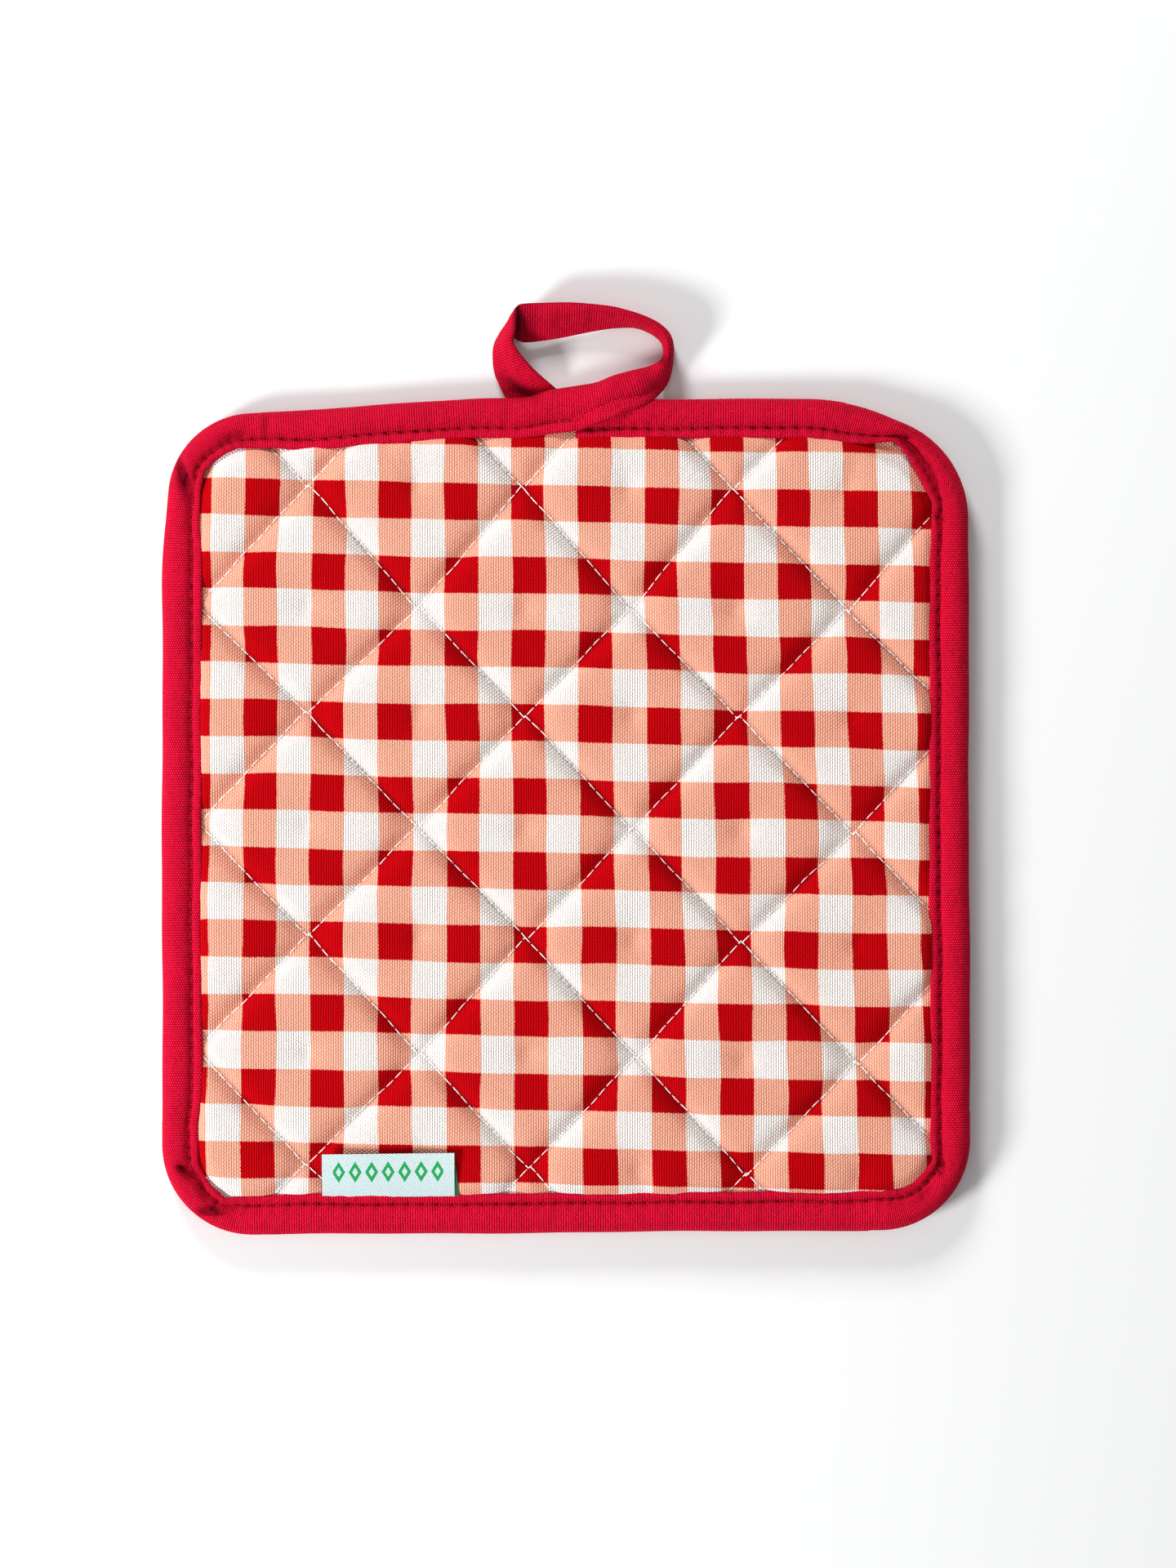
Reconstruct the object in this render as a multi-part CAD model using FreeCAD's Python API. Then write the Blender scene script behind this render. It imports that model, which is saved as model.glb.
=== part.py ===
"""A square quilted pot holder, bound all round, with a hanging loop and a folded woven label.

Millimetres. The pot holder lies on its back: +Z is up through its thickness, +Y points to the hanging loop and the
origin is the middle of the underside. It is soft, so each layer is divided along one row of quilting crossings, where
the pad folds in half, and the two halves are hinged there.
"""

import FreeCAD
import Part
import math
import os

# ---- the pad's outline: corners of the edge, anticlockwise from the bottom left, as (x, y, rounding radius)
OUTLINE = [
    (-98.2, -102.0, 22.0),
    (98.6, -100.6, 22.0),
    (98.0, 89.3, 25.0),
    (68.3, 101.6, 51.0),
    (-20.2, 101.8, 150.0),
    (-95.2, 97.0, 20.8),
    (-98.2, 61.4, 150.0),
]

# ---- thicknesses
PAD_THICKNESS = 9.0  # over the quilted puffs
CLOTH = 0.6  # printed canvas, front and back
EDGE_THICKNESS = 4.4  # of the three layers where the binding squeezes them
MIDDLE = PAD_THICKNESS / 2

# ---- the bound edge
BINDING_WIDTH = 10.0
BINDING_HEIGHT = 6.4
BINDING_TAPE = 1.2  # the tape's fold round the raw edges
BINDING_ROUNDING = 2.8
STACK_INSET = 1.4  # from the outline to the layers' raw edge, inside the binding
PUFF_GAP = 0.2  # between the binding's lip and the foot of the puffs
PUFF_SLOPE = 3.3  # how far the puffs take to rise beside the binding
TOPSTITCH_INSET = 7.4
TOPSTITCH_WIDTH = 0.4
TOPSTITCH_HEIGHT = 0.3

# ---- the quilting: rows of crossings, half a diamond apart, and zigzag threads between the rows
CROSSING_X = 16.0
FOLD_Y = -3.2  # the row of crossings that the pad folds along
DIAMOND_WIDTH = 52.4
DIAMOND_HEIGHT = 55.2
VALLEY_DEPTH = 2.0
VALLEY_FOOT = 0.8  # half the width of a valley's flat bottom
VALLEY_MOUTH = 4.5  # half the width of a valley at the top of the puffs
THREAD = 0.4
THREAD_GAP = 0.6  # from a crossing to the turn of each zigzag
THREAD_END_INSET = 10.8  # where the threads pass under the binding
BANDS_OF_THREAD = range(-4, 4)
VALLEYS = range(-4, 4)

# ---- the hanging loop: the binding tape's tail, folded shut, sewn down at both ends
LOOP_HINGE_Y = 103.3
LOOP_THICKNESS = 2.6
LOOP_OUTER = [
    (-15.4, LOOP_HINGE_Y), (-17.6, 111.0), (-15.1, 119.3), (-10.5, 124.4), (2.3, 125.1),
    (11.7, 123.9), (19.3, 121.4), (25.2, 117.6), (25.6, 110.8), (22.6, LOOP_HINGE_Y),
]
LOOP_OPENING = [
    (-1.9, 105.0), (-9.1, 109.5), (-12.2, 114.9), (-3.4, 117.2), (11.7, 119.2),
    (21.0, 117.4), (23.0, 113.4), (20.6, 109.6), (8.0, 106.6),
]
LOOP_SEAM_SHARE = 0.94  # the seam's distance from the loop's middle, as a share of the edge's
LOOP_MIDDLE = (4.0, 113.0)
LOOP_ROOT = [(-2.0, 94.6), (5.0, 94.2), (12.0, 96.9), (18.0, 99.9), (20.4, 101.0), (-2.0, 101.2)]
LOOP_ROOT_LOW = 8.1
LOOP_TAIL = [(-14.5, 101.2), (-9.5, 92.6), (1.5, 95.5), (-3.0, 101.2)]
LOOP_TAIL_LOW = 0.1
LOOP_TAIL_THICKNESS = 0.8

# ---- the folded woven label, sewn in under the binding's lip
LABEL_LEFT = -59.0
LABEL_RIGHT = -26.7
LABEL_HINGE_Y = -90.9
LABEL_HINGE_Z = 8.5
LABEL_KNEE_Y = -87.6
LABEL_TOP_Y = -82.0
LABEL_TOP_Z = 9.7
LABEL_THICKNESS = 0.8

FAR = 400.0  # larger than the pot holder


def vector(x, y, z=0.0):
    return FreeCAD.Vector(x, y, z)


def outline_arcs():
    """Centre, radius and first, middle and last outward direction of the round at each corner of the outline."""
    arcs = []
    count = len(OUTLINE)
    for i, (x, y, radius) in enumerate(OUTLINE):
        corner = vector(x, y)
        before = vector(*OUTLINE[i - 1][:2])
        after = vector(*OUTLINE[(i + 1) % count][:2])
        inward = (corner - before).normalize()
        onward = (after - corner).normalize()
        left_in = vector(-inward.y, inward.x)
        left_on = vector(-onward.y, onward.x)
        tangent = radius * math.tan(inward.getAngle(onward) / 2)
        centre = corner - inward * tangent + left_in * radius
        middle = (left_in + left_on).normalize()
        arcs.append((centre, radius, left_in * -1, middle * -1, left_on * -1))
    return arcs


def outline_wire(inset, z):
    """The pad's outline, moved in by inset, at height z."""
    up = vector(0, 0, z)
    rounds = []
    for centre, radius, *directions in outline_arcs():
        rounds.append([centre + d * (radius - inset) + up for d in directions])
    edges = []
    for this, following in zip(rounds, rounds[1:] + rounds[:1]):
        edges.append(Part.Arc(*this).toShape())
        edges.append(Part.LineSegment(this[2], following[0]).toShape())
    return Part.Wire(edges)


def slab(inset, low, high):
    """A plate with the pad's outline moved in by inset."""
    return Part.Face(outline_wire(inset, low)).extrude(vector(0, 0, high - low))


def frustum(inset_low, low, inset_high, high):
    return Part.makeLoft([outline_wire(inset_low, low), outline_wire(inset_high, high)], True, True)


def plate(points, low, high):
    """A plate with straight edges between the given points."""
    corners = [vector(x, y, low) for x, y in points]
    return Part.Face(Part.makePolygon(corners + corners[:1])).extrude(vector(0, 0, high - low))


def front_part(shape):
    return shape.common(Part.makeBox(FAR, FAR, FAR, vector(-FAR / 2, -FAR / 2, MIDDLE)))


def back_part(shape):
    return shape.common(Part.makeBox(FAR, FAR, FAR, vector(-FAR / 2, -FAR / 2, MIDDLE - FAR)))


def halves(shape):
    """What lies above the fold line, towards the loop, and what lies below it."""
    above = Part.makeBox(FAR, FAR, FAR, vector(-FAR / 2, FOLD_Y, -FAR / 2))
    below = Part.makeBox(FAR, FAR, FAR, vector(-FAR / 2, FOLD_Y - FAR, -FAR / 2))
    return shape.common(above), shape.common(below)


# ---------------------------------------------------------------- the quilted layers


def valley(column, side, foot_z, towards):
    """A quilting valley's prism on the diagonal through one crossing of the fold row. side is 1 or -1, for the two
    directions of diagonal, and towards is 1 for a valley in the front and -1 for one in the back."""
    along = vector(DIAMOND_WIDTH, side * DIAMOND_HEIGHT).normalize()
    across = vector(-along.y, along.x)
    start = vector(CROSSING_X + column * DIAMOND_WIDTH, FOLD_Y) - along * (FAR / 2)
    reach = 2.0  # the prism stands this many valley depths high
    mouth = VALLEY_FOOT + (VALLEY_MOUTH - VALLEY_FOOT) * reach
    foot = vector(0, 0, foot_z)
    top = vector(0, 0, foot_z + towards * VALLEY_DEPTH * reach)
    corners = [
        start - across * VALLEY_FOOT + foot,
        start + across * VALLEY_FOOT + foot,
        start + across * mouth + top,
        start - across * mouth + top,
    ]
    return Part.Face(Part.makePolygon(corners + corners[:1])).extrude(along * FAR)


def quilted_body(shrink):
    """The whole quilted pad without its binding, with the front and back surfaces moved in by shrink."""
    edge_low = MIDDLE - EDGE_THICKNESS / 2 + shrink
    edge_high = MIDDLE + EDGE_THICKNESS / 2 - shrink
    foot = BINDING_WIDTH + PUFF_GAP + shrink
    crest = foot + PUFF_SLOPE
    body = slab(STACK_INSET, edge_low, edge_high)
    body = body.fuse(frustum(foot, edge_high, crest, PAD_THICKNESS - shrink))
    body = body.fuse(frustum(crest, shrink, foot, edge_low))
    front_foot = PAD_THICKNESS - VALLEY_DEPTH - shrink
    back_foot = VALLEY_DEPTH + shrink
    valleys = []
    for column in VALLEYS:
        for side in (1, -1):
            valleys.append(valley(column, side, front_foot, 1))
            valleys.append(valley(column, side, back_foot, -1))
    return body.cut(valleys)


def layers():
    """Front cover, wadding and back cover."""
    whole = quilted_body(0.0)
    wadding = quilted_body(CLOTH)
    covers = whole.cut(wadding)
    return front_part(covers), wadding, back_part(covers)


# ---------------------------------------------------------------- the threads


def quilting_thread(row, low):
    """The zigzag thread between two rows of crossings: it turns back just short of each, so the threads never cross."""
    turns = []
    for step in range(-6, 7):
        at_upper_row = (step + row) % 2
        y = FOLD_Y + (row + at_upper_row) * DIAMOND_HEIGHT / 2
        y += -THREAD_GAP if at_upper_row else THREAD_GAP
        turns.append((CROSSING_X + step * DIAMOND_WIDTH / 2, y))
    half = THREAD / 2 / math.sin(math.atan2(DIAMOND_WIDTH, DIAMOND_HEIGHT))
    upper_edge = [(x, y + half) for x, y in turns]
    lower_edge = [(x, y - half) for x, y in reversed(turns)]
    zigzag = plate(upper_edge + lower_edge, low, low + THREAD)
    return zigzag.common(slab(THREAD_END_INSET, low - 1, low + THREAD + 1))


def quilting_threads(low):
    threads = []
    for row in BANDS_OF_THREAD:
        threads += quilting_thread(row, low).Solids
    return Part.makeCompound(threads)


def topstitch(low):
    """The row of stitches that holds the binding, as one narrow ring."""
    high = low + TOPSTITCH_HEIGHT
    outer = slab(TOPSTITCH_INSET - TOPSTITCH_WIDTH / 2, low, high)
    return outer.cut(slab(TOPSTITCH_INSET + TOPSTITCH_WIDTH / 2, low - 1, high + 1))


# ---------------------------------------------------------------- the binding


def binding():
    """The tape folded over the layers' raw edge: a ring with a round outside and a slot for the layers."""
    low = MIDDLE - BINDING_HEIGHT / 2
    high = MIDDLE + BINDING_HEIGHT / 2
    ring = slab(0.0, low, high)
    rims = []
    for edge in ring.Edges:
        heights = {round(vertex.Z, 6) for vertex in edge.Vertexes}
        if len(heights) == 1:
            rims.append(edge)
    ring = ring.makeFillet(BINDING_ROUNDING, rims)
    ring = ring.cut(slab(BINDING_WIDTH, low - 1, high + 1))
    return ring.cut(slab(BINDING_TAPE, MIDDLE - EDGE_THICKNESS / 2, MIDDLE + EDGE_THICKNESS / 2))


# ---------------------------------------------------------------- the hanging loop and the label


def smooth_edge(points, closed):
    curve = Part.BSplineCurve()
    curve.interpolate(Points=[vector(x, y) for x, y in points], PeriodicFlag=closed)
    return curve.toShape()


def loop_band():
    """The loop lying flat, as a plate with its opening, rounded about the line that it swings on."""
    outer = smooth_edge(LOOP_OUTER, False)
    first, last = (vector(*LOOP_OUTER[i]) for i in (0, -1))
    rim = Part.Wire([outer, Part.LineSegment(last, first).toShape()])
    opening = Part.Wire([smooth_edge(LOOP_OPENING, True)])
    low = MIDDLE - LOOP_THICKNESS / 2
    rise = vector(0, 0, LOOP_THICKNESS)
    band = Part.Face(rim).extrude(rise).cut(Part.Face(opening).extrude(rise))
    band.translate(vector(0, 0, low))
    root = Part.makeCylinder(
        LOOP_THICKNESS / 2, last.x - first.x, vector(first.x, LOOP_HINGE_Y, MIDDLE), vector(1, 0, 0)
    )
    return band.fuse(root).removeSplitter()


def loop_seam():
    """The seam that shuts the folded tape, along the loop's outer edge."""
    inner = []
    outer = []
    for x, y in LOOP_OUTER[1:-1]:
        away = vector(x - LOOP_MIDDLE[0], y - LOOP_MIDDLE[1])
        length = away.Length * LOOP_SEAM_SHARE
        away.normalize()
        for side, reach in ((inner, length - THREAD / 2), (outer, length + THREAD / 2)):
            side.append((LOOP_MIDDLE[0] + away.x * reach, LOOP_MIDDLE[1] + away.y * reach))
    low = MIDDLE + LOOP_THICKNESS / 2
    return plate(inner + outer[::-1], low, low + TOPSTITCH_HEIGHT)


def label():
    """The folded label: it leaves the binding's lip, climbs the edge of the puffs and lies over them."""
    half = LABEL_THICKNESS / 2
    line = [(LABEL_HINGE_Y, LABEL_HINGE_Z), (LABEL_KNEE_Y, LABEL_TOP_Z), (LABEL_TOP_Y, LABEL_TOP_Z)]
    profile = [(y, z + half) for y, z in line] + [(y, z - half) for y, z in reversed(line)]
    corners = [vector(LABEL_LEFT, y, z) for y, z in profile]
    return Part.Face(Part.makePolygon(corners + corners[:1])).extrude(vector(LABEL_RIGHT - LABEL_LEFT, 0, 0))


# ---------------------------------------------------------------- all the pieces


def pieces():
    front_cover, wadding, back_cover = layers()
    binding_high = MIDDLE + BINDING_HEIGHT / 2
    binding_low = MIDDLE - BINDING_HEIGHT / 2
    divided = {
        "front_cover": front_cover,
        "wadding": wadding,
        "back_cover": back_cover,
        "binding": binding(),
        "needle_thread": quilting_threads(PAD_THICKNESS - VALLEY_DEPTH),
        "bobbin_thread": quilting_threads(VALLEY_DEPTH - THREAD),
        "topstitch_front": topstitch(binding_high),
        "topstitch_back": topstitch(binding_low - TOPSTITCH_HEIGHT),
    }
    found = {}
    for name, shape in divided.items():
        found[f"{name}_upper"], found[f"{name}_lower"] = halves(shape)
    found["loop_band"] = loop_band()
    found["loop_seam"] = loop_seam()
    found["loop_root"] = plate(LOOP_ROOT, LOOP_ROOT_LOW, LOOP_ROOT_LOW + LOOP_THICKNESS)
    found["loop_tail"] = plate(LOOP_TAIL, LOOP_TAIL_LOW, LOOP_TAIL_LOW + LOOP_TAIL_THICKNESS)
    found["woven_label"] = label()
    return found


os.makedirs("parts", exist_ok=True)
for name, shape in pieces().items():
    if not shape.isValid() or not shape.Solids:
        raise RuntimeError(f"{name} is not a valid solid")
    Part.makeCompound(shape.Solids).exportStep(f"parts/{name}.step")
    box = shape.BoundBox
    print(f"{name:24s} solids {len(shape.Solids):3d} volume {shape.Volume:10.1f} mm3  z {box.ZMin:6.2f} to {box.ZMax:6.2f}")
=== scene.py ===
"""A square quilted pot holder: printed canvas, a crimson binding, a hanging loop and a folded label."""

import math

import bmesh
import bpy
import numpy as np
from mathutils import Matrix, Vector
from mathutils.bvhtree import BVHTree


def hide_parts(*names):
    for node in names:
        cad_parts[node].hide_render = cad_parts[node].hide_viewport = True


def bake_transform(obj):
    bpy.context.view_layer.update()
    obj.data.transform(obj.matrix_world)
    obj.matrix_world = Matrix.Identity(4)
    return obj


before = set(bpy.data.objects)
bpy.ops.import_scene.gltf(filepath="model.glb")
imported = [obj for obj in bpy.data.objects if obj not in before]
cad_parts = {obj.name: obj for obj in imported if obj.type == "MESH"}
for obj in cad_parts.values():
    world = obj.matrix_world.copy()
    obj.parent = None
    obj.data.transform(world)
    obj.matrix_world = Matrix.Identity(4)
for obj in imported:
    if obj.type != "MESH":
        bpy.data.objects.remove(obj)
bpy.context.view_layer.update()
MM = 0.001

# ---------------------------------------------------------------- camera
# Straight above the pot holder, far enough back that its edges stand upright.

bpy.ops.object.camera_add(location=(0.0055, 0.0079, 1.0650), rotation=(0, 0, 0))
camera = bpy.context.object
camera.data.lens = 100
camera.data.sensor_width = 36
camera.data.clip_start = 0.05
camera.data.clip_end = 20
bpy.context.scene.camera = camera

# ---------------------------------------------------------------- table and light
# A white table top. A soft lamp low on the left rakes across the quilting, a second one stands at the upper
# left, and a broad one overhead fills the shadows.

bpy.ops.mesh.primitive_plane_add(size=6, location=(0, 0, 0))
table = bpy.context.object
table.name = "table_top"
table_white = bpy.data.materials.new("table_white")
table_white.use_nodes = True
table_shader = table_white.node_tree.nodes["Principled BSDF"]
table_shader.inputs["Base Color"].default_value = (0.74, 0.745, 0.75, 1)
table_shader.inputs["Roughness"].default_value = 0.7
table.data.materials.append(table_white)


def soft_lamp(name, place, size, watts):
    """A square lamp facing the pot holder."""
    turn = Vector(place).to_track_quat("Z", "Y").to_euler()
    bpy.ops.object.light_add(type="AREA", location=place, rotation=turn)
    lamp = bpy.context.object
    lamp.name = name
    lamp.data.shape = "SQUARE"
    lamp.data.size = size
    lamp.data.energy = watts


soft_lamp("low_left_lamp", (-0.92, -0.52, 0.58), 0.3, 19.5)
soft_lamp("upper_left_lamp", (-0.3, 0.95, 0.55), 0.3, 11.0)
soft_lamp("overhead_lamp", (0.0, 0.0, 1.6), 1.2, 4.0)
sky_world = bpy.data.worlds.new("white_room")
sky_world.use_nodes = True
bpy.context.scene.world = sky_world
sky = sky_world.node_tree.nodes["Background"]
sky.inputs["Color"].default_value = (1, 1, 1, 1)
sky.inputs["Strength"].default_value = 0.27
bpy.context.scene.view_settings.view_transform = "Standard"

# ---------------------------------------------------------------- front and back covers
# Coarse cotton canvas, printed with a gingham in red and peach. The zigzag quilting pulls both covers down to
# the middle of the wadding, and the cloth swells between the rows of stitches.

# the pad's edge: corners anticlockwise from the bottom left, as x, y and rounding radius
CORNERS = (
    (-98.2, -102.0, 22.0),
    (98.6, -100.6, 22.0),
    (98.0, 89.3, 25.0),
    (68.3, 101.6, 51.0),
    (-20.2, 101.8, 150.0),
    (-95.2, 97.0, 20.8),
    (-98.2, 61.4, 150.0),
)
# where the rows and the columns of the quilting's crossings run, at the pad's middle
ROW_HEIGHTS = (-141.0, -113.2, -86.2, -58.7, -30.1, -3.2, 24.3, 50.4, 79.9, 107.2, 134.6)
COLUMN_PLACES = (-116.5, -89.6, -62.8, -35.8, -9.7, 16.4, 42.3, 69.9, 96.3, 123.0, 149.0)
FIRST_COLUMN = -1
ZIGZAG_ROWS = range(1, 10)
STEPS = 15  # of cloth between neighbouring columns of crossings
CELLS = 9  # of the quilting's pattern across the sheet
MIDDLE = 4.5  # of the pad's thickness, above the table
SEAM_HEIGHT = 1.7  # of the sewn cloth over the middle of the wadding
PUFF_HEIGHT = 2.3
VALLEY_DEPTH = 0.85
VALLEY_REACH = 1.2
CLOTH_THICKNESS = 0.45
COVER_INSET = 4.5
BINDING_WIDTH = 9.7
FLAT_UNTIL = 7.8  # from the pad's edge, where the cloth starts to rise out from under the binding
RISEN_BY = 10.4
CANVAS_SPAN = 200.0  # of cloth across the canvas's UV map
SIMULATION_SCALE = 10.0
SETTLED = 24  # frames
BATCH = 4000  # points measured at once


def edge_line(step):
    """Points along the pad's edge, evenly spaced, anticlockwise, and the inward direction at each."""
    line = []
    for i, (x, y, radius) in enumerate(CORNERS):
        corner = np.array((x, y))
        inward_run = corner - np.array(CORNERS[i - 1][:2])
        onward_run = np.array(CORNERS[(i + 1) % len(CORNERS)][:2]) - corner
        heading = math.atan2(inward_run[1], inward_run[0])
        turn = math.atan2(onward_run[1], onward_run[0]) - heading
        turn = (turn + math.pi) % (2 * math.pi) - math.pi
        start = corner - inward_run / np.hypot(*inward_run) * radius * math.tan(turn / 2)
        centre = start + radius * np.array((-math.sin(heading), math.cos(heading)))
        for share in np.linspace(0, 1, 40):
            angle = heading + turn * share - math.pi / 2
            line.append(centre + radius * np.array((math.cos(angle), math.sin(angle))))
    line = np.array(line + line[:1])
    lengths = np.concatenate(([0], np.cumsum(np.hypot(*np.diff(line, axis=0).T))))
    count = round(lengths[-1] / step)
    at = np.arange(count) / count * lengths[-1]
    points = np.stack([np.interp(at, lengths, line[:, k]) for k in (0, 1)], 1)
    along = np.roll(points, -1, 0) - np.roll(points, 1, 0)
    along /= np.hypot(*along.T)[:, None]
    return points, np.stack((-along[:, 1], along[:, 0]), 1)


EDGE, EDGE_IN = edge_line(1.0)


def edge_near(x, y):
    """How far inside the pad's edge each point is, and the direction inwards from there."""
    depth = np.empty(len(x))
    inward = np.empty((len(x), 2))
    for first in range(0, len(x), BATCH):
        part = slice(first, first + BATCH)
        dx = x[part, None] - EDGE[None, :, 0]
        dy = y[part, None] - EDGE[None, :, 1]
        nearest = np.argmin(dx * dx + dy * dy, 1)
        rows = np.arange(len(nearest))
        inward[part] = EDGE_IN[nearest]
        depth[part] = dx[rows, nearest] * inward[part, 0] + dy[rows, nearest] * inward[part, 1]
    return depth, inward


def inset_from_edge(x, y):
    return edge_near(x, y)[0]


def sewn_place(column, row):
    """Where a point of the quilting's pattern lies: its rows spread and drift a little down the pad."""
    columns = range(FIRST_COLUMN, FIRST_COLUMN + len(COLUMN_PLACES))
    lean = 0.009 + 0.0042 * (column - 3)
    y = np.interp(row, range(len(ROW_HEIGHTS)), ROW_HEIGHTS)
    x = np.interp(column, columns, COLUMN_PLACES) - lean * y
    slope = 0.0001 * y - 0.014
    wander = 0.15 * np.sin(y / 19.0 + x / 31.0)
    return x + wander, y + slope * (x - 16) + 0.15 * np.sin(x / 23.0 - y / 37.0)


def zigzag(row):
    """The turns of one row of quilting, from left to right, in millimetres."""
    turns = []
    for column in range(FIRST_COLUMN, CELLS):
        upper = (column + row) % 2 == 0
        level = row + 1 if upper else row
        x, y = sewn_place(column, level)
        stray = 0.35 * math.sin(column * 2.3 + row * 1.7)
        turns.append((float(x) + stray, float(y) + (0.3 if upper else -0.3)))
    return np.array(turns)


def on_seam(column_step, row_step):
    """Whether a point of the cloth's grid is sewn down: the seams are diagonals of the pattern's cells."""
    p = column_step % STEPS
    q = row_step % STEPS
    rising = (column_step // STEPS + row_step // STEPS) % 2 == 1
    return np.where(rising, p == q, (p + q) % STEPS == 0)


def eased(share):
    """A share from 0 to 1 that starts and ends gently."""
    share = np.clip(share, 0, 1)
    return share * share * (3 - 2 * share)


def select_only(piece):
    bpy.ops.object.select_all(action="DESELECT")
    piece.select_set(True)
    bpy.context.view_layer.objects.active = piece


def places_of(piece):
    flat = np.empty(len(piece.data.vertices) * 3, np.float32)
    piece.data.vertices.foreach_get("co", flat)
    return flat.reshape(-1, 3).astype(float)


def cloth_grid(name, columns, rows):
    """A flat sheet of cloth, and each vertex's column and row in it."""
    bpy.ops.object.select_all(action="DESELECT")
    bpy.ops.mesh.primitive_grid_add(x_subdivisions=columns, y_subdivisions=rows, size=1)
    piece = bpy.context.object
    piece.name = name
    piece.data.name = name
    flat = places_of(piece)
    column = np.rint((flat[:, 0] + 0.5) * columns).astype(int)
    row = np.rint((flat[:, 1] + 0.5) * rows).astype(int)
    return piece, column, row


def put(piece, places):
    piece.data.vertices.foreach_set("co", np.ascontiguousarray(places, np.float32).ravel())
    piece.data.update()


def lay_pattern(piece, per_vertex):
    """Sets the piece's UV map from one pair of numbers per vertex."""
    corners = np.empty(len(piece.data.loops), np.int32)
    piece.data.loops.foreach_get("vertex_index", corners)
    layer = piece.data.uv_layers.active or piece.data.uv_layers.new(name="cloth")
    layer.uv.foreach_set("vector", np.ascontiguousarray(per_vertex[corners], np.float32).ravel())


def trim_to_edge(piece, inset, keep_more):
    """Deletes the cloth outside the pad's edge, less inset, and draws the cut edge onto that line."""
    places = places_of(piece)
    depth = inset_from_edge(places[:, 0], places[:, 1]) - inset
    mesh = bmesh.new()
    mesh.from_mesh(piece.data)
    mesh.verts.ensure_lookup_table()
    spare = [v for v in mesh.verts if depth[v.index] < -keep_more]
    bmesh.ops.delete(mesh, geom=spare, context="VERTS")
    loose = [v for v in mesh.verts if not v.link_faces]
    bmesh.ops.delete(mesh, geom=loose, context="VERTS")
    mesh.to_mesh(piece.data)
    mesh.free()
    places = places_of(piece)
    for _ in range(3):
        depth, inward = edge_near(places[:, 0], places[:, 1])
        places[:, :2] -= inward * np.minimum(depth - inset, 0)[:, None]
    put(piece, places)


def swell(piece, pressure):
    """Blows the cloth up from below, held where its group says. Returns where it settles, in millimetres."""
    select_only(piece)
    bpy.ops.object.modifier_add(type="CLOTH")
    cloth = piece.modifiers["Cloth"]
    settings = cloth.settings
    settings.quality = 5
    settings.mass = 0.02
    settings.tension_stiffness = 30
    settings.compression_stiffness = 30
    settings.shear_stiffness = 12
    settings.bending_stiffness = 10
    settings.tension_damping = 10
    settings.compression_damping = 10
    settings.shear_damping = 10
    settings.vertex_group_mass = "held"
    settings.use_pressure = True
    settings.uniform_pressure_force = pressure
    settings.shrink_min = -0.02
    settings.effector_weights.gravity = 0
    cloth.collision_settings.use_collision = False
    cloth.point_cache.frame_start = 1
    cloth.point_cache.frame_end = SETTLED
    for moment in range(1, SETTLED + 1):
        bpy.context.scene.frame_set(moment)
    bpy.ops.object.modifier_apply(modifier="Cloth")
    bpy.context.scene.frame_set(1)
    piece.vertex_groups.clear()
    return places_of(piece) / (SIMULATION_SCALE * MM)


def evened_out(piece, height, held):
    """The height of each point once the wadding has evened it out and stopped it at its own thickness."""
    pairs = np.empty(len(piece.data.edges) * 2, np.int32)
    piece.data.edges.foreach_get("vertices", pairs)
    pairs = pairs.reshape(-1, 2)
    neighbours = np.zeros(len(height))
    np.add.at(neighbours, pairs.ravel(), 1)
    for _ in range(2):
        total = np.zeros(len(height))
        np.add.at(total, pairs[:, 0], height[pairs[:, 1]])
        np.add.at(total, pairs[:, 1], height[pairs[:, 0]])
        height = np.where(held, height, 0.45 * height + 0.55 * total / neighbours)
    return np.where(held, height, PUFF_HEIGHT * np.tanh(1.9 * np.maximum(height, 0) / PUFF_HEIGHT))


def bite_seams(piece, side):
    """Presses a sharp little valley along every seam, and notes how much shade to paint into it: painted
    shade, darkest in the falling seams, which lie square across the low lamp's light, and faint in the rising
    ones."""
    places = places_of(piece) / MM
    x, y = places[:, 0], places[:, 1]
    nearest = np.full(len(x), 99.0)
    seam_shade = np.zeros(len(x))
    for row in ZIGZAG_ROWS:
        turns = zigzag(row)
        for start, end in zip(turns[:-1], turns[1:]):
            run = end - start
            share = np.clip(((x - start[0]) * run[0] + (y - start[1]) * run[1]) / (run @ run), 0, 1)
            away = np.hypot(x - start[0] - share * run[0], y - start[1] - share * run[1])
            nearest = np.minimum(nearest, away)
            # painted shade in each seam's valley: strongest where the seam falls across the low lamp's light
            seam_shade = np.maximum(seam_shade, (1.0 if run[1] < 0 else 0.3) * np.exp(-away / 0.5))
    places[:, 2] -= side * VALLEY_DEPTH * np.exp(-nearest / VALLEY_REACH)
    put(piece, places * MM)
    note = piece.data.attributes.new("seam", "FLOAT", "POINT")
    note.data.foreach_set("value", seam_shade.astype(np.float32))


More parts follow.
